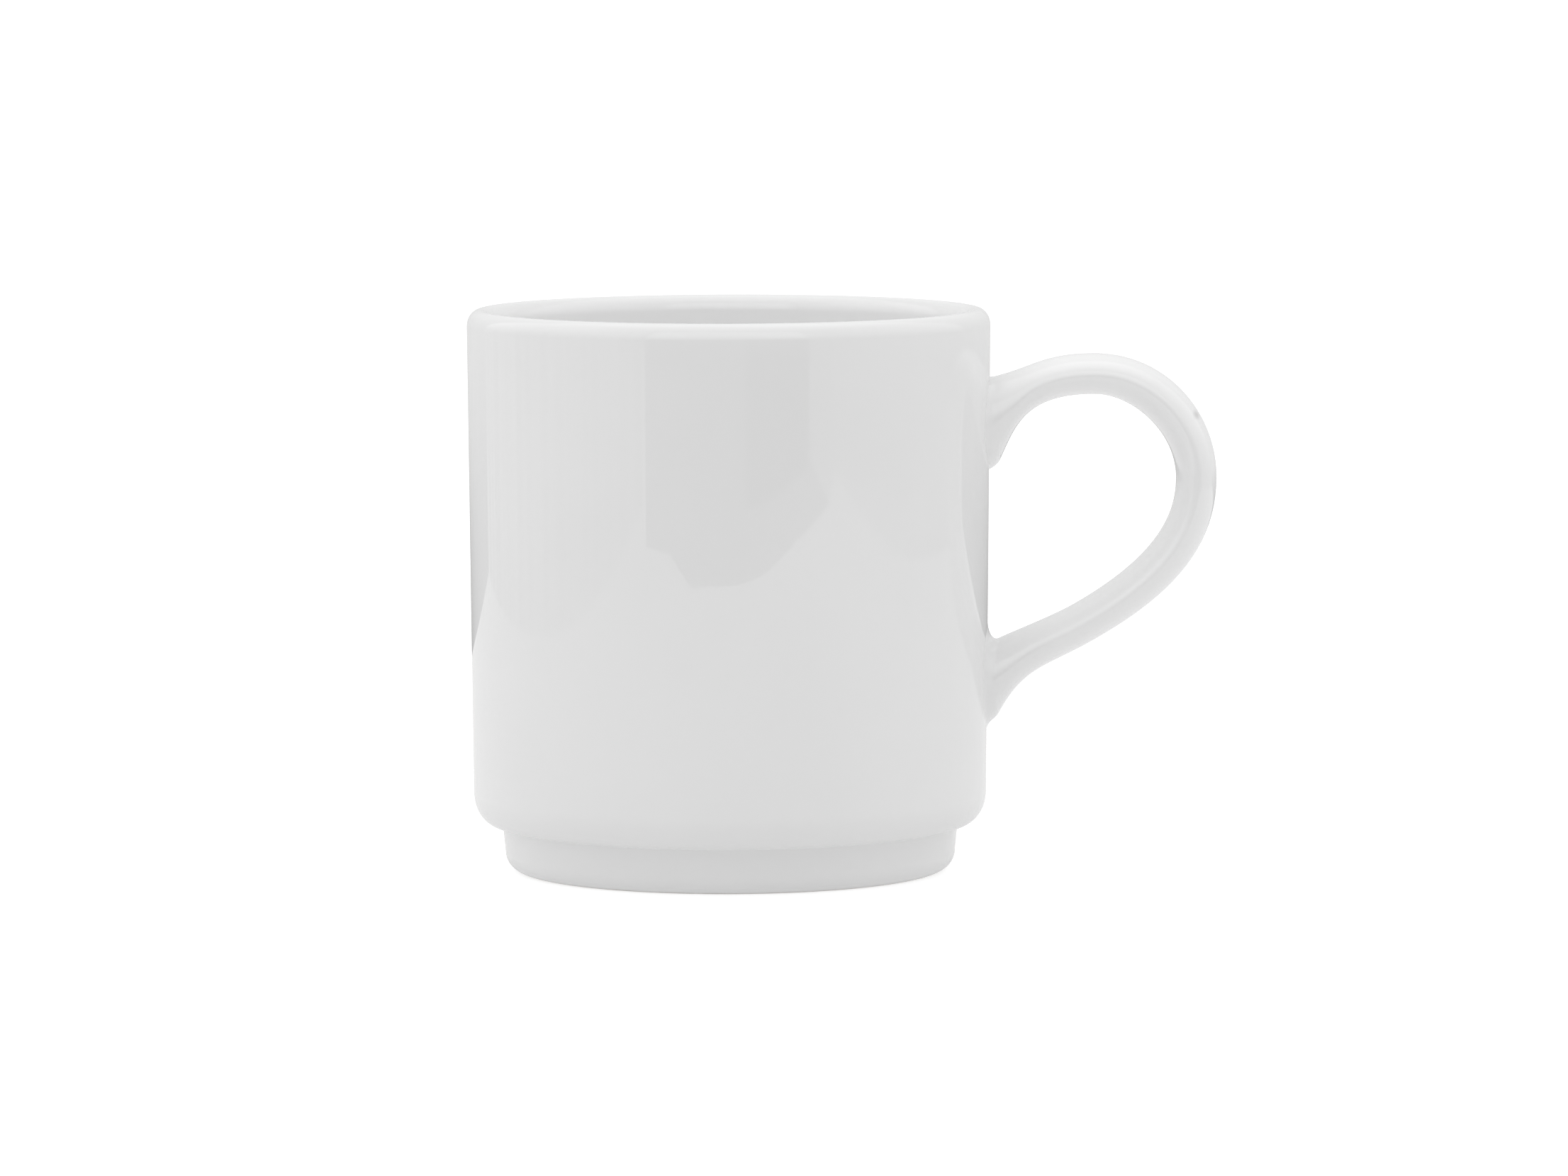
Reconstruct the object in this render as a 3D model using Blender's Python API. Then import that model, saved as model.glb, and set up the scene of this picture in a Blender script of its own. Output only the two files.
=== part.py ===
"""A stackable ceramic mug: a turned body with a stepped foot, and a cast strap handle
luted on with clay slip at two roots. Metres, +Z up. The mug stands on Z = 0 with the
handle towards +X and the middle of its bounding box over the origin."""

import math

import bmesh
import bpy

MM = 0.001

# Body
HEIGHT = 86.1 * MM  # foot to rim
RIM_RADIUS = 40.0 * MM  # outside, at the rim
WALL = 4.0 * MM  # thickness of the side
TAPER = 0.7 * MM  # how much narrower the side is at the shoulder than at the rim
LIP_ROUNDING = 2.5 * MM  # height of the rounded lip
SHOULDER_HEIGHT = 4.9 * MM  # height of the curve under the side
LEDGE = 0.8 * MM  # flat underside between the shoulder and the foot
FLOOR = 4.0 * MM  # thickness under the drink
INNER_CORNER = 10.0 * MM  # radius between the floor and the inside wall

# Foot. It sits inside the rim of the mug below it in a stack.
STACKING_CLEARANCE = 1.1 * MM
FOOT_HEIGHT = 7.2 * MM
FOOT_DRAFT = 0.4 * MM  # how much narrower the foot is at its bottom
FOOT_EDGE = 3.0 * MM  # radius of the foot's outer bottom edge
FOOT_FLAT = 2.0 * MM  # width of the ring that the mug stands on
FOOT_INNER_EDGE = 1.2 * MM  # radius of the foot's inner bottom edge
RECESS = 3.0 * MM  # depth of the hollow under the floor

# Handle, seen from the side
REACH = 34.6 * MM  # how far it stands out past the rim
STRAP = 6.2 * MM  # thickness of the strap
CROWN_DROP = 7.0 * MM  # from the rim down to the top of the arch
CROWN_REACH = 15.8 * MM  # from the rim out to the top of the arch
OUTERMOST_DROP = 19.0 * MM  # from the top of the arch down to the outermost point
ARM_REACH = 16.2 * MM  # from the rim out to the end of the straight lower arm
ARM_RISE = 11.5 * MM  # from the lower root's bottom up to that end
ARM_ANGLE = 30.0  # slope of the lower arm, in degrees
UPPER_ROOT_DROP = 10.2 * MM  # from the rim down to the upper root
UPPER_ROOT_DEPTH = 12.7 * MM  # height of the strap where it meets the wall
LOWER_ROOT_HEIGHT = 23.9 * MM  # from the table up to the lower root
LOWER_ROOT_DEPTH = 11.5 * MM

# Handle, seen end on
STRAP_WIDTH = 12.5 * MM
UPPER_ROOT_WIDTH = 15.0 * MM
LOWER_ROOT_WIDTH = 14.0 * MM
FLARE_LENGTH = 9.0 * MM  # over which the strap widens to a root
SECTION_POWER = 2.1  # 2 is an ellipse; more is squarer

# Slip between the handle and the wall
SLIP = 1.2 * MM  # thickness
GAP = 0.3 * MM  # between pieces that touch
SLIP_SIDE = 1.0 * MM  # how far the slip spreads past the strap on each side
UPPER_SLIP_ABOVE, UPPER_SLIP_BELOW = 0.3 * MM, 1.8 * MM
LOWER_SLIP_ABOVE, LOWER_SLIP_BELOW = 2.2 * MM, 2.6 * MM

# Mesh
TURNS = 96  # sides of the turned body
RING = 24  # points around the strap

FOOT_RADIUS = RIM_RADIUS - WALL - STACKING_CLEARANCE
SHOULDER_RADIUS = RIM_RADIUS - TAPER
SHOULDER_TOP = FOOT_HEIGHT + SHOULDER_HEIGHT
LIP_BOTTOM = HEIGHT - LIP_ROUNDING
FLOOR_TOP = RECESS + FLOOR
HANDLE_END = GAP + SLIP + GAP  # from the wall out to the end of the strap
CENTRE_X = -REACH / 2  # the body's axis


def arc(centre, radii, start, end, steps):
    """Points on an ellipse about centre, from start to end degrees."""
    angles = [math.radians(start + (end - start) * i / steps) for i in range(steps + 1)]
    return [
        (centre[0] + radii[0] * math.cos(a), centre[1] + radii[1] * math.sin(a))
        for a in angles
    ]


def wall_radius(z):
    """Outside radius of the side at height z."""
    share = (z - SHOULDER_TOP) / (LIP_BOTTOM - SHOULDER_TOP)
    return SHOULDER_RADIUS + TAPER * share


def body_profile():
    """(radius, height) points from the middle of the underside to the middle of the floor."""
    foot_bottom = FOOT_RADIUS - FOOT_DRAFT
    ring_outer = foot_bottom - FOOT_EDGE
    ring_inner = ring_outer - FOOT_FLAT
    fillet = RECESS - FOOT_INNER_EDGE
    recess_wall = ring_inner - FOOT_INNER_EDGE
    inset = SHOULDER_RADIUS - FOOT_RADIUS - LEDGE
    bore = SHOULDER_RADIUS - WALL
    corner_radius = bore - INNER_CORNER
    return [
        (0, RECESS),
        *arc((recess_wall - fillet, FOOT_INNER_EDGE), (fillet, fillet), 90, 0, 4),
        *arc((ring_inner, FOOT_INNER_EDGE), (FOOT_INNER_EDGE,) * 2, 180, 270, 3)[1:],
        *arc((ring_outer, FOOT_EDGE), (FOOT_EDGE, FOOT_EDGE), -90, 0, 5),
        (FOOT_RADIUS, FOOT_HEIGHT),
        *arc((SHOULDER_RADIUS - inset, SHOULDER_TOP), (inset, SHOULDER_HEIGHT), -90, 0, 7),
        *arc((RIM_RADIUS - WALL / 2, LIP_BOTTOM), (WALL / 2, LIP_ROUNDING), 0, 180, 10),
        *arc((corner_radius, FLOOR_TOP + INNER_CORNER), (INNER_CORNER,) * 2, 0, -90, 9),
        (0, FLOOR_TOP),
    ]


def turned(profile):
    """The solid that a profile sweeps round the Z axis. Its ends lie on the axis."""
    bm = bmesh.new()
    verts = [bm.verts.new((r, 0, z)) for r, z in profile]
    edges = [bm.edges.new(pair) for pair in zip(verts, verts[1:])]
    bmesh.ops.spin(
        bm,
        geom=verts + edges,
        cent=(0, 0, 0),
        axis=(0, 0, 1),
        angle=math.tau,
        steps=TURNS,
        use_merge=True,
    )
    bmesh.ops.remove_doubles(bm, verts=bm.verts, dist=0.001 * MM)
    return bm


def curve(start, start_angle, end, end_angle, shares, steps):
    """Evenly spaced points on a cubic curve. Angles are its directions in degrees, and
    shares are the lengths of its two handles as shares of the chord."""
    chord = math.dist(start, end)
    a, b = math.radians(start_angle), math.radians(end_angle)
    near = [start[k] + shares[0] * chord * (math.cos(a), math.sin(a))[k] for k in (0, 1)]
    far = [end[k] - shares[1] * chord * (math.cos(b), math.sin(b))[k] for k in (0, 1)]

    def point(t):
        weights = ((1 - t) ** 3, 3 * t * (1 - t) ** 2, 3 * t * t * (1 - t), t**3)
        return tuple(
            sum(w * p[k] for w, p in zip(weights, (start, near, far, end)))
            for k in (0, 1)
        )

    fine = [point(i / 200) for i in range(201)]
    lengths = [0.0]
    for p, q in zip(fine, fine[1:]):
        lengths.append(lengths[-1] + math.dist(p, q))
    points, at = [], 0
    for i in range(steps + 1):
        wanted = lengths[-1] * i / steps
        while at < 199 and lengths[at + 1] < wanted:
            at += 1
        share = (wanted - lengths[at]) / (lengths[at + 1] - lengths[at])
        points.append(
            tuple(p + share * (q - p) for p, q in zip(fine[at], fine[at + 1]))
        )
    return points


def handle_curves():
    """The strap's outer and inner outlines in the XZ plane, from the lower root up."""
    lower, upper = LOWER_ROOT_HEIGHT, HEIGHT - UPPER_ROOT_DROP

    def on_end(z):
        return (wall_radius(z) + HANDLE_END, z)

    slope = math.radians(ARM_ANGLE)
    crown = (RIM_RADIUS + CROWN_REACH, HEIGHT - CROWN_DROP)
    outermost = (RIM_RADIUS + REACH, crown[1] - OUTERMOST_DROP)
    arm = (RIM_RADIUS + ARM_REACH, lower + ARM_RISE)
    inner_arm = (arm[0] - STRAP * math.sin(slope), arm[1] + STRAP * math.cos(slope))
    inner_outermost = (outermost[0] - STRAP, outermost[1])
    inner_crown = (crown[0], crown[1] - STRAP)
    low_end, low_inner_end = on_end(lower), on_end(lower + LOWER_ROOT_DEPTH)
    top_end, top_inner_end = on_end(upper), on_end(upper - UPPER_ROOT_DEPTH)
    outer = [
        (low_end, 62, arm, ARM_ANGLE, (0.44, 0.47), 12),
        (arm, ARM_ANGLE, outermost, 90, (0.32, 0.41), 13),
        (outermost, 90, crown, 180, (0.38, 0.41), 12),
        (crown, 180, top_end, 195, (0.50, 0.34), 13),
    ]
    inner = [
        (low_inner_end, 24, inner_arm, ARM_ANGLE, (0.35, 0.29), 12),
        (inner_arm, ARM_ANGLE, inner_outermost, 90, (0.68, 0.16), 13),
        (inner_outermost, 90, inner_crown, 180, (0.38, 0.33), 12),
        (inner_crown, 180, top_inner_end, 246, (0.61, 0.31), 13),
    ]
    return [
        [p for i, run in enumerate(runs) for p in curve(*run)[i > 0 :]]
        for runs in (outer, inner)
    ]


def rounded(angle):
    """Cosine and sine of a squared-off circle."""
    power = 2 / SECTION_POWER
    return tuple(
        math.copysign(abs(v) ** power, v) for v in (math.cos(angle), math.sin(angle))
    )


def on_wall(y, z, offset):
    """The point beside the wall, offset out from it, towards the handle."""
    return (math.sqrt((wall_radius(z) + offset) ** 2 - y * y), y, z)


def footprint(start, end, half_width, offset, share=1.0):
    """A ring of points on the wall, or a smaller copy of it. It runs from height start
    round by +Y to height end and back."""
    middle, half = (start + end) / 2, (start - end) / 2
    ring = []
    for i in range(RING):
        up, side = rounded(math.tau * i / RING)
        ring.append(
            on_wall(share * half_width * side, middle + share * half * up, offset)
        )
    return ring


def capped_loft(rings, start_cap, end_cap):
    """A closed solid through rings of points. Each cap is smaller rings, then a centre."""
    bm = bmesh.new()
    rows = [*reversed(start_cap[:-1]), *rings, *end_cap[:-1]]
    rows = [[bm.verts.new(p) for p in row] for row in rows]
    first, last = bm.verts.new(start_cap[-1]), bm.verts.new(end_cap[-1])
    for i in range(RING):
        j = (i + 1) % RING
        bm.faces.new((first, rows[0][j], rows[0][i]))
        for low, high in zip(rows, rows[1:]):
            bm.faces.new((low[i], low[j], high[j], high[i]))
        bm.faces.new((rows[-1][i], rows[-1][j], last))
    return bm


def cap(start, end, half_width, offset):
    """Smaller and smaller rings that close a footprint, then its centre."""
    inside = [footprint(start, end, half_width, offset, s) for s in (0.7, 0.35)]
    return [*inside, on_wall(0, (start + end) / 2, offset)]


def handle():
    outer, inner = handle_curves()
    centres = [tuple((p[k] + q[k]) / 2 for k in (0, 1)) for p, q in zip(outer, inner)]
    along = [0.0]
    for p, q in zip(centres, centres[1:]):
        along.append(along[-1] + math.dist(p, q))

    def spread(distance, root_width):
        left = max(0.0, 1 - distance / FLARE_LENGTH)
        return (root_width - STRAP_WIDTH) / 2 * left * left

    rings = []
    for (ox, oz), (ix, iz), (cx, cz), s in zip(outer, inner, centres, along):
        half = STRAP_WIDTH / 2 + spread(s, LOWER_ROOT_WIDTH)
        half += spread(along[-1] - s, UPPER_ROOT_WIDTH)
        ring = []
        for i in range(RING):
            up, side = rounded(math.tau * i / RING)
            ring.append((cx + (ix - ox) / 2 * up, half * side, cz + (iz - oz) / 2 * up))
        rings.append(ring)
    # Each ring starts on the strap's inside, and both ends follow the wall's curve.
    low = (inner[0][1], outer[0][1], LOWER_ROOT_WIDTH / 2, HANDLE_END)
    top = (inner[-1][1], outer[-1][1], UPPER_ROOT_WIDTH / 2, HANDLE_END)
    rings[0], rings[-1] = footprint(*low), footprint(*top)
    return capped_loft(rings, cap(*low), cap(*top))


def slip_pad(top, bottom, half_width, above, below):
    """Slip between the wall and one end of the strap, spreading in a curve to the wall."""
    rings = []
    steps = 4
    for i in range(steps + 1):
        out = i / steps
        spread = (1 - out) ** 2
        rings.append(
            footprint(
                top + above * spread,
                bottom - below * spread,
                half_width + SLIP_SIDE * spread,
                GAP + SLIP * out,
            )
        )
    wide = (top + above, bottom - below, half_width + SLIP_SIDE, GAP)
    return capped_loft(
        rings, cap(*wide), cap(top, bottom, half_width, GAP + SLIP)
    )


def glaze(name, colour):
    material = bpy.data.materials.new(name)
    material.use_nodes = True
    shader = material.node_tree.nodes["Principled BSDF"]
    shader.inputs["Base Color"].default_value = (*colour, 1)
    shader.inputs["Roughness"].default_value = 0.12
    return material


def add_piece(name, bm, colour, frame):
    mesh = bpy.data.meshes.new(name)
    bmesh.ops.recalc_face_normals(bm, faces=bm.faces)
    bm.to_mesh(mesh)
    bm.free()
    mesh.shade_smooth()
    mesh.set_sharp_from_angle(angle=math.radians(35))
    mesh.materials.append(glaze(name + "_glaze", colour))
    piece = bpy.data.objects.new(name, mesh)
    piece.parent = frame
    bpy.context.scene.collection.objects.link(piece)


def build():
    for old in list(bpy.data.objects):
        bpy.data.objects.remove(old)
    frame = bpy.data.objects.new("body_axis", None)
    frame.location = (CENTRE_X, 0, 0)
    bpy.context.scene.collection.objects.link(frame)

    upper = HEIGHT - UPPER_ROOT_DROP
    lower = LOWER_ROOT_HEIGHT
    upper_pad = slip_pad(
        upper,
        upper - UPPER_ROOT_DEPTH,
        UPPER_ROOT_WIDTH / 2,
        UPPER_SLIP_ABOVE,
        UPPER_SLIP_BELOW,
    )
    lower_pad = slip_pad(
        lower + LOWER_ROOT_DEPTH,
        lower,
        LOWER_ROOT_WIDTH / 2,
        LOWER_SLIP_ABOVE,
        LOWER_SLIP_BELOW,
    )
    add_piece("cup_body", turned(body_profile()), (0.86, 0.86, 0.85), frame)
    add_piece("handle", handle(), (0.86, 0.86, 0.85), frame)
    add_piece("upper_handle_joint", upper_pad, (0.84, 0.84, 0.83), frame)
    add_piece("lower_handle_joint", lower_pad, (0.84, 0.84, 0.83), frame)


build()
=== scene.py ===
import math

import bmesh
import bpy
from mathutils import Matrix, Vector


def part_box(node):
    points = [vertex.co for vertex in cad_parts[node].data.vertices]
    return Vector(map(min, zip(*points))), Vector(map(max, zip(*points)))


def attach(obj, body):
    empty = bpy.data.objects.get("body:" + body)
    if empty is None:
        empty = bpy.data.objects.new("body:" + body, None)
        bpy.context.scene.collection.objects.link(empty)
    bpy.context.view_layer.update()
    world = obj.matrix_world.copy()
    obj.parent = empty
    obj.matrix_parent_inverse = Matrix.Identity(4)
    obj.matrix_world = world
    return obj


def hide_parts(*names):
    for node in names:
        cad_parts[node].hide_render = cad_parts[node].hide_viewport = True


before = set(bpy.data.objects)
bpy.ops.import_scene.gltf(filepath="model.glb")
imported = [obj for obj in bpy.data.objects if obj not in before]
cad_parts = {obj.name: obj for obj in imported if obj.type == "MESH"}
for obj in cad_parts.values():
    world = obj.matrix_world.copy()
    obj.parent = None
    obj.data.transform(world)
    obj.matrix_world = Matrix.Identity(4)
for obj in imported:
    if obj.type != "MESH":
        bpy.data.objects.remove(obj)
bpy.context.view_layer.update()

MM = 0.001

# Body, read from the CAD
body_low, body_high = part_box("cup_body")
AXIS_X = (body_low.x + body_high.x) / 2
RIM_RADIUS = (body_high.y - body_low.y) / 2
HEIGHT = body_high.z
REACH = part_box("handle")[1].x - AXIS_X - RIM_RADIUS

# Body, as in the CAD
WALL = 4.0 * MM
TAPER = 0.7 * MM
LIP_ROUNDING = 2.5 * MM
SHOULDER_HEIGHT = 4.9 * MM
LEDGE = 0.8 * MM
FLOOR = 4.0 * MM
INNER_CORNER = 10.0 * MM
STACKING_CLEARANCE = 1.1 * MM
FOOT_HEIGHT = 7.2 * MM
FOOT_DRAFT = 0.4 * MM
FOOT_EDGE = 3.0 * MM
FOOT_FLAT = 2.0 * MM
FOOT_INNER_EDGE = 1.2 * MM
RECESS = 3.0 * MM
GLAZE_CORNER = 0.35 * MM  # glaze rounds the corner where the foot meets the ledge

# Handle, as in the CAD
STRAP = 6.2 * MM
CROWN_DROP = 7.0 * MM
CROWN_REACH = 15.8 * MM
OUTERMOST_DROP = 19.0 * MM
ARM_REACH = 16.2 * MM
ARM_RISE = 11.5 * MM
ARM_ANGLE = 30.0
UPPER_ROOT_DROP = 10.2 * MM
UPPER_ROOT_DEPTH = 12.7 * MM
LOWER_ROOT_HEIGHT = 23.9 * MM
LOWER_ROOT_DEPTH = 11.5 * MM
STRAP_WIDTH = 12.5 * MM
UPPER_ROOT_WIDTH = 15.0 * MM
LOWER_ROOT_WIDTH = 14.0 * MM
FLARE_LENGTH = 9.0 * MM
BEND_LENGTH = 4.0 * MM  # near a root, where the section bends to the wall's curve
SECTION_POWER = 2.1
SLIP_END = 1.8 * MM  # from the wall out to the end of the strap
EMBED = 0.5 * MM  # how far a slip runs into the wall
SLIP_FEATHER = 0.02 * MM  # how far its fillet dips under the wall before that
SLIP_LEAVE = 0.38  # how long it keeps the strap's direction, as a share of its reach
SLIP_ARRIVE = 0.45  # the same for its direction at the wall

# Fineness of the visible surfaces
TURNS = 256
RING = 72
STATIONS = 44  # along each of the strap's four runs
CURVE_SAMPLES = 400
SLIP_STEPS = 16
SLIP_AIM = 4  # rings back along the strap that give its direction at the slip
SHARP = math.radians(40)

FOOT_RADIUS = RIM_RADIUS - WALL - STACKING_CLEARANCE
SHOULDER_RADIUS = RIM_RADIUS - TAPER
SHOULDER_TOP = FOOT_HEIGHT + SHOULDER_HEIGHT
LIP_BOTTOM = HEIGHT - LIP_ROUNDING
FLOOR_TOP = RECESS + FLOOR


# ---------------------------------------------------------------- shapes


def arc(centre, radii, start, end, steps):
    """Points on an ellipse about centre, from start to end degrees."""
    angles = [math.radians(start + (end - start) * i / steps) for i in range(steps + 1)]
    return [
        (centre[0] + radii[0] * math.cos(a), centre[1] + radii[1] * math.sin(a))
        for a in angles
    ]


def straight(start, end, steps):
    """Points between two points, without either."""
    return [
        tuple(a + (b - a) * i / steps for a, b in zip(start, end))
        for i in range(1, steps)
    ]


def wall_radius(z):
    """Outside radius of the side at height z."""
    share = (z - SHOULDER_TOP) / (LIP_BOTTOM - SHOULDER_TOP)
    return SHOULDER_RADIUS + TAPER * share


def body_profile():
    """(radius, height) points from the middle of the underside to the middle of the floor."""
    foot_bottom = FOOT_RADIUS - FOOT_DRAFT
    ring_outer = foot_bottom - FOOT_EDGE
    ring_inner = ring_outer - FOOT_FLAT
    fillet = RECESS - FOOT_INNER_EDGE
    recess_wall = ring_inner - FOOT_INNER_EDGE
    inset = SHOULDER_RADIUS - FOOT_RADIUS - LEDGE
    corner_radius = SHOULDER_RADIUS - WALL - INNER_CORNER
    soft = GLAZE_CORNER
    recess_flat = recess_wall - fillet
    bore_top = RIM_RADIUS - WALL
    bore_bottom = (SHOULDER_RADIUS - WALL, FLOOR_TOP + INNER_CORNER)
    return [
        (0, RECESS),
        *straight((0, RECESS), (recess_flat, RECESS), 8),
        *arc((recess_flat, FOOT_INNER_EDGE), (fillet, fillet), 90, 0, 10),
        *arc((ring_inner, FOOT_INNER_EDGE), (FOOT_INNER_EDGE,) * 2, 180, 270, 8)[1:],
        *arc((ring_outer, FOOT_EDGE), (FOOT_EDGE, FOOT_EDGE), -90, 0, 16),
        *straight((foot_bottom, FOOT_EDGE), (FOOT_RADIUS, FOOT_HEIGHT - soft), 4),
        *arc((FOOT_RADIUS + soft, FOOT_HEIGHT - soft), (soft, soft), 180, 90, 4),
        *arc((SHOULDER_RADIUS - inset, SHOULDER_TOP), (inset, SHOULDER_HEIGHT), -90, 0, 22),
        *straight((SHOULDER_RADIUS, SHOULDER_TOP), (RIM_RADIUS, LIP_BOTTOM), 30),
        *arc((RIM_RADIUS - WALL / 2, LIP_BOTTOM), (WALL / 2, LIP_ROUNDING), 0, 180, 32),
        *straight((bore_top, LIP_BOTTOM), bore_bottom, 26),
        *arc((corner_radius, bore_bottom[1]), (INNER_CORNER,) * 2, 0, -90, 24),
        *straight((corner_radius, FLOOR_TOP), (0, FLOOR_TOP), 8),
        (0, FLOOR_TOP),
    ]


def turned(profile):
    """The solid that a profile sweeps round the Z axis. Its ends lie on the axis."""
    bm = bmesh.new()
    verts = [bm.verts.new((r, 0, z)) for r, z in profile]
    edges = [bm.edges.new(pair) for pair in zip(verts, verts[1:])]
    bmesh.ops.spin(
        bm,
        geom=verts + edges,
        cent=(0, 0, 0),
        axis=(0, 0, 1),
        angle=math.tau,
        steps=TURNS,
        use_merge=True,
    )
    bmesh.ops.remove_doubles(bm, verts=bm.verts, dist=0.001 * MM)
    return bm


def cubic(t):
    """The weights of a cubic curve's four points, at t from 0 to 1."""
    return ((1 - t) ** 3, 3 * t * (1 - t) ** 2, 3 * t * t * (1 - t), t**3)


def curve(start, start_angle, end, end_angle, shares, steps):
    """Evenly spaced points on a cubic curve. Angles are its directions in degrees, and
    shares are the lengths of its two handles as shares of the chord."""
    chord = math.dist(start, end)
    a, b = math.radians(start_angle), math.radians(end_angle)
    near = [start[k] + shares[0] * chord * (math.cos(a), math.sin(a))[k] for k in (0, 1)]
    far = [end[k] - shares[1] * chord * (math.cos(b), math.sin(b))[k] for k in (0, 1)]

    def point(t):
        return tuple(
            sum(w * p[k] for w, p in zip(cubic(t), (start, near, far, end)))
            for k in (0, 1)
        )

    fine = [point(i / CURVE_SAMPLES) for i in range(CURVE_SAMPLES + 1)]
    lengths = [0.0]
    for p, q in zip(fine, fine[1:]):
        lengths.append(lengths[-1] + math.dist(p, q))
    points, at = [], 0
    for i in range(steps + 1):
        wanted = lengths[-1] * i / steps
        while at < CURVE_SAMPLES - 1 and lengths[at + 1] < wanted:
            at += 1
        share = (wanted - lengths[at]) / (lengths[at + 1] - lengths[at])
        points.append(
            tuple(p + share * (q - p) for p, q in zip(fine[at], fine[at + 1]))
        )
    return points


def handle_curves():
    """The strap's outer and inner outlines in the XZ plane, from the lower root up."""
    lower, upper = LOWER_ROOT_HEIGHT, HEIGHT - UPPER_ROOT_DROP

    def on_end(z):
        return (wall_radius(z) + SLIP_END, z)

    slope = math.radians(ARM_ANGLE)
    crown = (RIM_RADIUS + CROWN_REACH, HEIGHT - CROWN_DROP)
    outermost = (RIM_RADIUS + REACH, crown[1] - OUTERMOST_DROP)
    arm = (RIM_RADIUS + ARM_REACH, lower + ARM_RISE)
    inner_arm = (arm[0] - STRAP * math.sin(slope), arm[1] + STRAP * math.cos(slope))
    inner_outermost = (outermost[0] - STRAP, outermost[1])
    inner_crown = (crown[0], crown[1] - STRAP)
    low_end, low_inner_end = on_end(lower), on_end(lower + LOWER_ROOT_DEPTH)
    top_end, top_inner_end = on_end(upper), on_end(upper - UPPER_ROOT_DEPTH)
    outer = [
        (low_end, 62, arm, ARM_ANGLE, (0.44, 0.47)),
        (arm, ARM_ANGLE, outermost, 90, (0.32, 0.41)),
        (outermost, 90, crown, 180, (0.38, 0.41)),
        (crown, 180, top_end, 195, (0.50, 0.34)),
    ]
    inner = [
        (low_inner_end, 24, inner_arm, ARM_ANGLE, (0.35, 0.29)),
        (inner_arm, ARM_ANGLE, inner_outermost, 90, (0.68, 0.16)),
        (inner_outermost, 90, inner_crown, 180, (0.38, 0.33)),
        (inner_crown, 180, top_inner_end, 246, (0.61, 0.31)),
    ]
    return [
        [p for i, run in enumerate(runs) for p in curve(*run, STATIONS)[i > 0 :]]
        for runs in (outer, inner)
    ]


def rounded(angle):
    """Cosine and sine of a squared-off circle."""
    power = 2 / SECTION_POWER
    return tuple(
        math.copysign(abs(v) ** power, v) for v in (math.cos(angle), math.sin(angle))
    )


def on_wall(y, z, offset):
    """The point beside the wall, offset out from it, towards the handle."""
    return (math.sqrt((wall_radius(z) + offset) ** 2 - y * y), y, z)


def footprint(start, end, half_width, offset, share=1.0):
    """A ring of points on the wall, or a smaller copy of it. It runs from height start
    round by +Y to height end and back."""
    middle, half = (start + end) / 2, (start - end) / 2
    ring = []
    for i in range(RING):
        up, side = rounded(math.tau * i / RING)
        ring.append(
            on_wall(share * half_width * side, middle + share * half * up, offset)
        )
    return ring


def cap(start, end, half_width, offset):
    """Smaller and smaller rings that close a footprint, then its centre."""
    inside = [footprint(start, end, half_width, offset, s) for s in (0.7, 0.35)]
    return [*inside, on_wall(0, (start + end) / 2, offset)]


def capped_loft(rings, start_cap, end_cap):
    """A closed solid through rings of points. Each cap is smaller rings, then a centre."""
    bm = bmesh.new()
    rows = [*reversed(start_cap[:-1]), *rings, *end_cap[:-1]]
    rows = [[bm.verts.new(p) for p in row] for row in rows]
    first, last = bm.verts.new(start_cap[-1]), bm.verts.new(end_cap[-1])
    for i in range(RING):
        j = (i + 1) % RING
        bm.faces.new((first, rows[0][j], rows[0][i]))
        for low, high in zip(rows, rows[1:]):
            bm.faces.new((low[i], low[j], high[j], high[i]))
        bm.faces.new((rows[-1][i], rows[-1][j], last))
    return bm


def strap_rings():
    """Rings of points round the strap from the lower root up, and the ends' footprints as
    footprint() takes them. Each ring starts at the strap's inner edge."""
    outer, inner = handle_curves()
    centres = [tuple((p[k] + q[k]) / 2 for k in (0, 1)) for p, q in zip(outer, inner)]
    along = [0.0]
    for p, q in zip(centres, centres[1:]):
        along.append(along[-1] + math.dist(p, q))

    def spread(distance, root_width):
        left = max(0.0, 1 - distance / FLARE_LENGTH)
        return (root_width - STRAP_WIDTH) / 2 * left * left

    rings = []
    for (ox, oz), (ix, iz), (cx, cz), s in zip(outer, inner, centres, along):
        half = STRAP_WIDTH / 2 + spread(s, LOWER_ROOT_WIDTH)
        half += spread(along[-1] - s, UPPER_ROOT_WIDTH)
        near = max(0.0, 1 - min(s, along[-1] - s) / BEND_LENGTH) ** 2
        ring = []
        for i in range(RING):
            up, side = rounded(math.tau * i / RING)
            y = half * side
            x = cx + (ix - ox) / 2 * up
            x -= near * (x - math.sqrt(x * x - y * y))
            ring.append((x, y, cz + (iz - oz) / 2 * up))
        rings.append(ring)
    ends = [
        (inner[0][1], outer[0][1], LOWER_ROOT_WIDTH / 2),
        (inner[-1][1], outer[-1][1], UPPER_ROOT_WIDTH / 2),
    ]
    rings[0], rings[-1] = (footprint(*end, SLIP_END) for end in ends)
    return rings, ends


def handle():
    rings, ends = strap_rings()
    return capped_loft(rings, *(cap(*end, SLIP_END) for end in ends))


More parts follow.
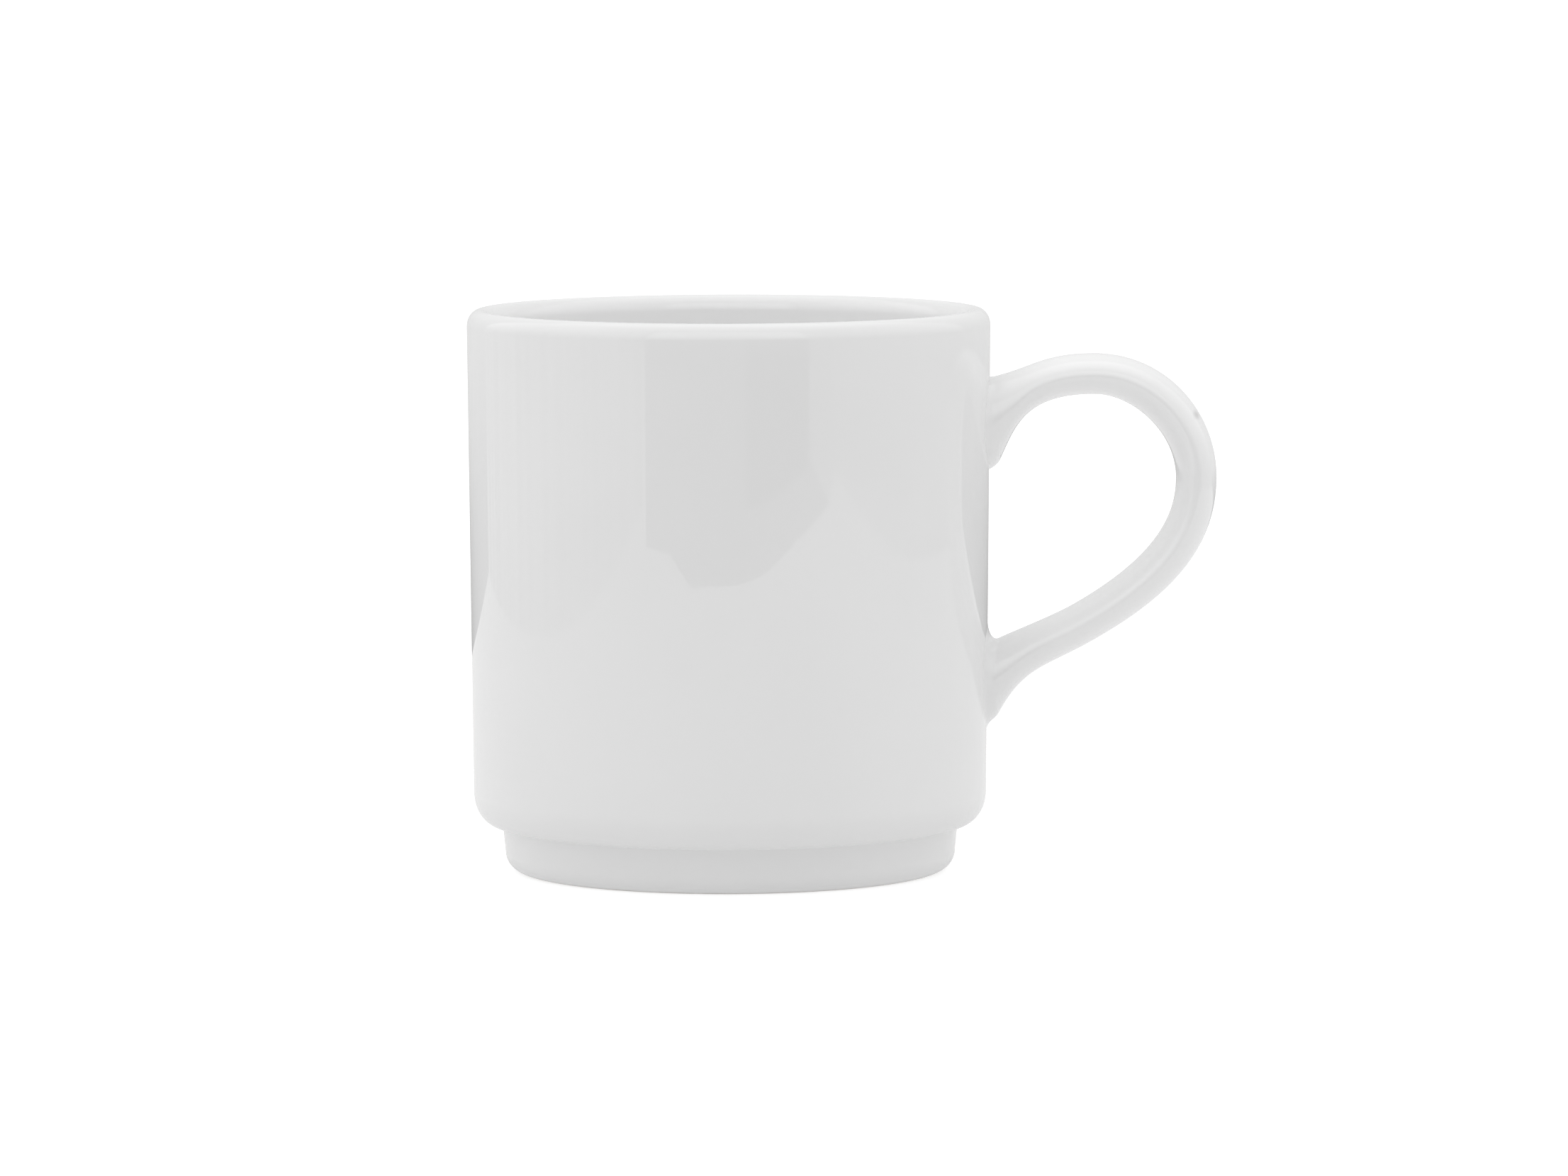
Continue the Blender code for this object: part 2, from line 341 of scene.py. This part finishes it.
def slip(rings, end, inner, outer, side):
    """The slip between the strap's end and the wall. rings are the strap's, from its end
    inwards. inner, outer and side are how far the slip spreads along the wall past each
    edge of the strap, and how it meets the wall: 0 is a crease and 1 is a full fillet."""
    inner_z, outer_z, half_width = end
    away = math.copysign(1, inner_z - outer_z)
    foot = (inner_z + away * inner[0], outer_z - away * outer[0], half_width + side[0])
    middle, half = (foot[0] + foot[1]) / 2, (foot[0] - foot[1]) / 2
    columns = []
    for i, (start, before) in enumerate(zip(rings[0], rings[SLIP_AIM])):
        up, across = rounded(math.tau * i / RING)
        weights = (max(0.0, up) ** 2, max(0.0, -up) ** 2, across * across)
        softness = sum(w * edge[1] for w, edge in zip(weights, (inner, outer, side)))
        softness /= sum(weights)
        y, z = foot[2] * across, middle + half * up
        start, end_point = Vector(start), Vector(on_wall(y, z, -SLIP_FEATHER))
        wider = Vector(on_wall(1.05 * y, middle + 1.05 * half * up, -SLIP_FEATHER))
        outward = (wider - end_point).normalized()
        normal = Vector((end_point.x, end_point.y, 0)).normalized()
        reach = (end_point - start).length
        near = start + SLIP_LEAVE * reach * (start - Vector(before)).normalized()
        arrival = (1 - softness) * normal - softness * outward
        points = (start, near, end_point + SLIP_ARRIVE * reach * arrival, end_point)
        column = []
        for step in range(SLIP_STEPS + 1):
            weights = cubic(step / SLIP_STEPS)
            column.append(sum((w * p for w, p in zip(weights, points)), Vector()))
        columns.append([*column, Vector(on_wall(y, z, -EMBED))])
    return capped_loft(zip(*columns), cap(*end, SLIP_END), cap(*foot, -EMBED))


def piece(name, bm, node, material):
    """A visible piece of the mug that stands for one CAD node."""
    bmesh.ops.recalc_face_normals(bm, faces=bm.faces)
    mesh = bpy.data.meshes.new(name)
    bm.to_mesh(mesh)
    bm.free()
    mesh.transform(Matrix.Translation((AXIS_X, 0, 0)))
    mesh.shade_smooth()
    mesh.set_sharp_from_angle(angle=SHARP)
    mesh.materials.append(material)
    obj = bpy.data.objects.new(name, mesh)
    bpy.context.scene.collection.objects.link(obj)
    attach(obj, "root")
    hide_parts(node)
    return obj


# ---------------------------------------------------------------- materials

WHITE = (0.88, 0.88, 0.88)
# Painted light: the strap is painted lighter away from the wall, where less of the wall's
# shade falls.
STRAP_PAINTED_LIGHT = (0.91, 0.91, 0.91)
# Painted light: the cup's inside is painted whiter than its glaze.
INSIDE_PAINTED_LIGHT = (0.955, 0.955, 0.955)
# Colour of the dark dots at the pinholes.
PINHOLE_DARK = (0.22, 0.21, 0.20)
CHIP_GREY = (0.30, 0.29, 0.28)
CLAY_DARK, CLAY_LIGHT = (0.62, 0.60, 0.57), (0.74, 0.72, 0.69)
GLAZE_IOR = 1.6
BUMP_HEIGHT = 0.05 * MM
STRAP_PAINTED_LIGHT_FROM = 12.0 * MM  # out from the rim, where the strap's painted light reaches full strength
CHIP = (AXIS_X + 71.4 * MM, -3.4 * MM, 69.9 * MM)  # on the handle's outer edge
CHIP_CORE, CHIP_RADIUS = 0.2 * MM, 1.2 * MM
BARE_BELOW, GLAZED_ABOVE = 0.25 * MM, 0.45 * MM


class Nodes:
    """Short names for building a material's nodes."""

    def __init__(self, name):
        self.material = bpy.data.materials.new(name)
        self.material.use_nodes = True
        self.tree = self.material.node_tree
        self.shader = self.tree.nodes["Principled BSDF"]
        self.place = self.add("TexCoord").outputs["Object"]

    def add(self, kind, inputs=(), **settings):
        node = self.tree.nodes.new("ShaderNode" + kind)
        for key, value in settings.items():
            setattr(node, key, value)
        for key, value in dict(inputs).items():
            self.put(node.inputs[key], value)
        return node

    def put(self, socket, value):
        if isinstance(value, bpy.types.NodeSocket):
            self.tree.links.new(value, socket)
        else:
            socket.default_value = value

    def math(self, operation, a, b=0.0):
        node = self.add("Math", {0: a, 1: b}, operation=operation)
        return node.outputs[0]

    def vector(self, operation, a, b=(0.0, 0.0, 0.0)):
        return self.add("VectorMath", {0: a, 1: b}, operation=operation).outputs

    def noise(self, scale, detail=2.0, roughness=0.5, vector=None):
        node = self.add("TexNoise", {"Scale": scale, "Detail": detail, "Roughness": roughness})
        self.put(node.inputs["Vector"], vector or self.place)
        return node.outputs["Fac"]

    def spread(self, value, low, high, to_low=0.0, to_high=1.0):
        """value, taken from low..high to another range, with a soft start and end."""
        node = self.add(
            "MapRange",
            {"Value": value, 1: low, 2: high, 3: to_low, 4: to_high},
            interpolation_type="SMOOTHSTEP",
        )
        return node.outputs[0]

    def mix(self, share, a, b):
        node = self.add("Mix", data_type="RGBA")
        self.put(node.inputs["Factor"], share)
        for key, value in (("A", a), ("B", b)):
            socket = [s for s in node.inputs if s.name == key and s.type == "RGBA"][0]
            self.put(socket, (*value, 1.0) if isinstance(value, tuple) else value)
        return [s for s in node.outputs if s.type == "RGBA"][0]


def from_axis(n, xyz):
    """Distance from the mug's axis."""
    across = n.math("SUBTRACT", xyz.outputs["X"], AXIS_X)
    across = n.math("MULTIPLY", across, across)
    deep = n.math("MULTIPLY", xyz.outputs["Y"], xyz.outputs["Y"])
    return n.math("SQRT", n.math("ADD", across, deep))


def painted_inside_light(n, xyz):
    """1 on the inside of the cup, which is painted whiter: painted light standing in for the
    light that reaches the inside.
    """
    rise = n.math("MULTIPLY", n.math("SUBTRACT", xyz.outputs["Z"], FLOOR_TOP), 100.0)
    over_floor = n.math("ADD", rise, 30 * MM)
    limit = n.math("MINIMUM", over_floor, RIM_RADIUS - WALL + 1 * MM)
    return n.spread(n.math("SUBTRACT", limit, from_axis(n, xyz)), 0.0, 1.0 * MM)


def pinholes(n):
    """1 on a few small dots, one in some of the cells of a coarse grid."""
    cells = n.add("TexVoronoi", {"Vector": n.place, "Scale": 90.0}, feature="F1")
    chance = n.add("SeparateColor", {0: cells.outputs["Color"]})
    size = n.spread(chance.outputs[1], 0.0, 1.0, 0.015, 0.040)
    dot = n.math("LESS_THAN", cells.outputs["Distance"], size)
    return n.math("MULTIPLY", dot, n.math("GREATER_THAN", chance.outputs[0], 0.86))


def chipped(n):
    """1 on the handle's chip, which is longest across the strap."""
    away = n.vector("SUBTRACT", n.place, CHIP)[0]
    away = n.vector("MULTIPLY", away, (1.0, 0.35, 1.0))[0]
    ragged = n.math("MULTIPLY", n.noise(900.0), 0.3 * MM)
    away = n.math("ADD", n.vector("LENGTH", away)["Value"], ragged)
    return n.spread(away, CHIP_CORE, CHIP_RADIUS, 1.0, 0.0)


def bare_foot(n, xyz):
    """1 at the bottom of the foot, where the glaze is wiped off."""
    ragged = n.math("MULTIPLY", n.noise(300.0, 3.0), 0.25 * MM)
    edge = n.math("ADD", xyz.outputs["Z"], ragged)
    return n.spread(edge, BARE_BELOW, GLAZED_ABOVE, 1.0, 0.0)


def glaze(name, cup=False, strap=False):
    """White glaze on white clay: faint clouds of tone, dark pinholes, a slow ripple that bends
    reflections. A cup has a bare ring of matt clay under its foot and an inside painted whiter
    as painted light, and a strap has a small dark chip and is painted lighter away from the
    wall as painted light."""
    n = Nodes(name)
    xyz = n.add("SeparateXYZ", {0: n.place})
    clouds = n.spread(n.noise(38.0, 3.0), 0.3, 0.7)
    colour = n.mix(clouds, tuple(0.985 * c for c in WHITE), WHITE)
    # Painted light: the strap grows lighter away from the wall, standing in for the shade that
    # falls less there.
    if strap:
        full = RIM_RADIUS + STRAP_PAINTED_LIGHT_FROM
        away = n.spread(from_axis(n, xyz), RIM_RADIUS + SLIP_END, full)
        colour = n.mix(away, colour, STRAP_PAINTED_LIGHT)
    if cup:
        # Painted light: the inside of the cup is painted whiter.
        colour = n.mix(painted_inside_light(n, xyz), colour, INSIDE_PAINTED_LIGHT)

    pits = pinholes(n)
    colour = n.mix(n.math("MULTIPLY", pits, 0.55), colour, PINHOLE_DARK)
    if strap:
        chip = chipped(n)
        colour = n.mix(n.math("MULTIPLY", chip, 0.40), colour, CHIP_GREY)
        pits = n.math("MAXIMUM", pits, chip)

    peel = n.math("MULTIPLY", n.noise(700.0), 0.015)
    height = n.math("ADD", n.noise(55.0, 1.0, 0.4), peel)
    height = n.math("SUBTRACT", height, n.math("MULTIPLY", pits, 0.12))
    roughness = n.spread(n.noise(120.0, 4.0), 0.3, 0.75, 0.005, 0.02)
    if cup:
        bare = bare_foot(n, xyz)
        grain = n.noise(1800.0, 4.0, 0.7)
        clay = n.mix(n.spread(grain, 0.35, 0.65), CLAY_DARK, CLAY_LIGHT)
        colour = n.mix(bare, colour, clay)
        roughness = n.math("ADD", roughness, n.math("MULTIPLY", bare, 0.6))
        gritty = n.math("MULTIPLY", n.math("MULTIPLY", bare, grain), 0.06)
        height = n.math("ADD", height, gritty)

    bump = n.add("Bump", {"Height": height, "Strength": 0.35, "Distance": BUMP_HEIGHT})
    n.put(n.shader.inputs["Base Color"], colour)
    n.put(n.shader.inputs["Roughness"], roughness)
    n.put(n.shader.inputs["Normal"], bump.outputs[0])
    n.shader.inputs["IOR"].default_value = GLAZE_IOR
    return n.material


# ---------------------------------------------------------------- the mug

cup_look = glaze("body_glaze_look", cup=True)
handle_look = glaze("handle_glaze_look", strap=True)
joint_look = glaze("joint_glaze_look")
piece("mug_body", turned(body_profile()), "cup_body", cup_look)
piece("mug_handle", handle(), "handle", handle_look)

# Each slip spreads past the strap by a length, with a softness: inner, outer, side.
rings, (lower_end, upper_end) = strap_rings()
side = (0.9 * MM, 0.6)
upper_slip = slip(rings[::-1], upper_end, (1.8 * MM, 0.3), (-0.35 * MM, 0.0), side)
lower_slip = slip(rings, lower_end, (3.0 * MM, 1.0), (2.7 * MM, 1.0), side)
piece("upper_slip", upper_slip, "upper_handle_joint", joint_look)
piece("lower_slip", lower_slip, "lower_handle_joint", joint_look)


# ---------------------------------------------------------------- studio

# Radiance of the tent towards minus and plus each axis
TENT = {"X": (1.05, 0.92), "Y": (0.43, 1.2), "Z": (0.0, 1.82)}
FLOOR_TONE = 0.46
FLOOR_GLOW = 0.38
FLOOR_LIFT = 0.30
FLOOR_SIZE = 28.0
# The tent's walls, in metres from the mug's axis
LEFT, RIGHT, BACK, FRONT, TENT_TOP = -0.38, 0.52, 0.33, -0.50, 0.6
RAMP = 0.3  # height over which most cloths brighten
CAMERA_PLACE = (AXIS_X + 0.0002, -1.3385, 0.1651)
CAMERA_LENS = 201.4
PITCH, YAW, ROLL = math.radians(5.203), math.radians(0.349), math.radians(-0.157)


def glow(name, low, high, top, streaks=0.0):
    """Cloth lit from behind. Its radiance goes from low at the floor to high at height top.
    streaks is how much its upright folds take off that."""
    n = Nodes(name)
    n.tree.nodes.remove(n.shader)
    xyz = n.add("SeparateXYZ", {0: n.place})
    strength = n.spread(xyz.outputs["Z"], 0.0, top, low, high)
    if streaks:
        upright = n.add("Mapping", {"Vector": n.place, "Scale": (45.0, 45.0, 0.6)})
        fold = n.noise(1.0, 3.0, 0.6, upright.outputs[0])
        strength = n.math("MULTIPLY", strength, n.spread(fold, 0.4, 0.6, 1.0 - streaks, 1.0))
    light = n.add("Emission", {"Strength": strength})
    n.put(n.tree.nodes["Material Output"].inputs["Surface"], light.outputs[0])
    n.material.cycles.emission_sampling = "NONE"
    return n.material


def panel(name, points, material):
    """An upright sheet that only reflections show. Points are x and y from the mug's axis,
    and the heights of the sheet's bottom and top there."""
    mesh = bpy.data.meshes.new(name)
    low = [(AXIS_X + x, y, bottom) for x, y, bottom, top in points]
    high = [(AXIS_X + x, y, top) for x, y, bottom, top in points]
    count = len(points)
    faces = [(i, i + 1, count + i + 1, count + i) for i in range(count - 1)]
    mesh.from_pydata(low + high, [], faces)
    mesh.materials.append(material)
    obj = bpy.data.objects.new(name, mesh)
    bpy.context.scene.collection.objects.link(obj)
    obj.visible_camera = False
    obj.visible_diffuse = False
    obj.visible_shadow = False


def sheet(name, ends, material, bottom=0.0):
    """A panel as high as the tent through places on the floor."""
    panel(name, [(x, y, bottom, TENT_TOP) for x, y in ends], material)


def floor():
    """Pale paper on a light table. The camera sees it a little brighter, so it stays white."""
    mesh = bpy.data.meshes.new("floor")
    half = FLOOR_SIZE / 2
    corners = [(-half, -half, 0), (half, -half, 0), (half, half, 0), (-half, half, 0)]
    mesh.from_pydata(corners, [], [(0, 1, 2, 3)])
    n = Nodes("floor_paper")
    low, high = ((share * FLOOR_TONE,) * 3 for share in (0.985, 1.0))
    n.put(n.shader.inputs["Base Color"], n.mix(n.noise(6.0), low, high))
    n.shader.inputs["Roughness"].default_value = 0.9
    n.shader.inputs["Specular IOR Level"].default_value = 0.1
    n.shader.inputs["Emission Color"].default_value = (1, 1, 1, 1)
    seen = n.add("LightPath").outputs["Is Camera Ray"]
    glowing = n.add("Math", {0: seen, 1: FLOOR_LIFT, 2: FLOOR_GLOW}, operation="MULTIPLY_ADD")
    n.put(n.shader.inputs["Emission Strength"], glowing.outputs[0])
    n.material.cycles.emission_sampling = "NONE"
    mesh.materials.append(n.material)
    obj = bpy.data.objects.new("floor", mesh)
    bpy.context.scene.collection.objects.link(obj)


def sky():
    """A white tent with its own brightness in front, behind, on each side and above."""
    world = bpy.data.worlds.new("tent")
    bpy.context.scene.world = world
    world.use_nodes = True
    nodes, links = world.node_tree.nodes, world.node_tree.links
    nodes.clear()
    out = nodes.new("ShaderNodeOutputWorld")
    light = nodes.new("ShaderNodeBackground")
    split = nodes.new("ShaderNodeSeparateXYZ")
    links.new(nodes.new("ShaderNodeTexCoord").outputs["Generated"], split.inputs[0])
    total = None
    for axis, (minus, plus) in TENT.items():
        side = nodes.new("ShaderNodeMapRange")
        for index, value in ((1, -0.001), (2, 0.001), (3, minus), (4, plus)):
            side.inputs[index].default_value = value
        links.new(split.outputs[axis], side.inputs[0])
        square = nodes.new("ShaderNodeMath")
        square.operation = "MULTIPLY"
        links.new(split.outputs[axis], square.inputs[0])
        links.new(split.outputs[axis], square.inputs[1])
        term = nodes.new("ShaderNodeMath")
        term.operation = "MULTIPLY_ADD"
        links.new(square.outputs[0], term.inputs[0])
        links.new(side.outputs[0], term.inputs[1])
        term.inputs[2].default_value = 0.0
        if total:
            links.new(total, term.inputs[2])
        total = term.outputs[0]
    links.new(total, light.inputs["Strength"])
    links.new(light.outputs[0], out.inputs[0])


floor()
sky()

left_cloth = glow("left_cloth", 0.80, 1.5, RAMP, streaks=0.22)
sheet("tent_back", [(LEFT, BACK), (RIGHT, BACK)], glow("back_cloth", 0.40, 0.75, 0.06))
sheet("tent_left", [(LEFT, BACK), (LEFT, FRONT)], left_cloth)
sheet("tent_right", [(RIGHT, BACK), (RIGHT, FRONT)], glow("right_cloth", 0.66, 1.2, RAMP))

# The way in is dark. It has a deeper part on the right, and its right edge slants out.
jamb, foot = (0.322, -0.475), (0.435, -0.460)
doorway = [(-0.312, -0.436), (-0.224, -0.476), (-0.125, -0.443), (-0.066, -0.461)]
doorway_dark = glow("doorway_dark", 0.22, 1.75, RAMP)
deeper = glow("doorway_deeper", 0.0, 1.75, RAMP)
sheet("doorway", [*doorway, (0.264, -0.482), jamb], doorway_dark)
sheet("doorway_deep", [(0.0, -0.466), (0.262, -0.479), (0.318, -0.472)], deeper, bottom=0.014)
panel("doorway_foot", [(*jamb, 0, 0.0155), (*foot, 0, 0)], doorway_dark)
side_cloth = glow("side_cloth", 0.55, 1.2, RAMP)
sheet("doorway_side", [(x, y - 0.5 * MM) for x, y in (jamb, foot)], side_cloth)
sheet("tent_front", [(0.430, -0.462), (RIGHT, FRONT)], glow("front_cloth", 0.62, 1.2, RAMP))

camera = bpy.data.cameras.new("camera")
camera.sensor_width = 36.0
camera.lens = CAMERA_LENS
camera.clip_end = 50.0
view = bpy.data.objects.new("camera", camera)
bpy.context.scene.collection.objects.link(view)
bpy.context.scene.camera = view
level = Vector((math.sin(YAW), math.cos(YAW), 0))
forward = math.cos(PITCH) * level - math.sin(PITCH) * Vector((0, 0, 1))
right = Vector((math.cos(YAW), -math.sin(YAW), 0))
up = right.cross(forward)
tilted = math.cos(ROLL) * right + math.sin(ROLL) * up
raised = -math.sin(ROLL) * right + math.cos(ROLL) * up
turn = Matrix((tilted, raised, -forward)).transposed().to_4x4()
view.matrix_world = Matrix.Translation(CAMERA_PLACE) @ turn

bpy.context.scene.view_settings.view_transform = "Standard"
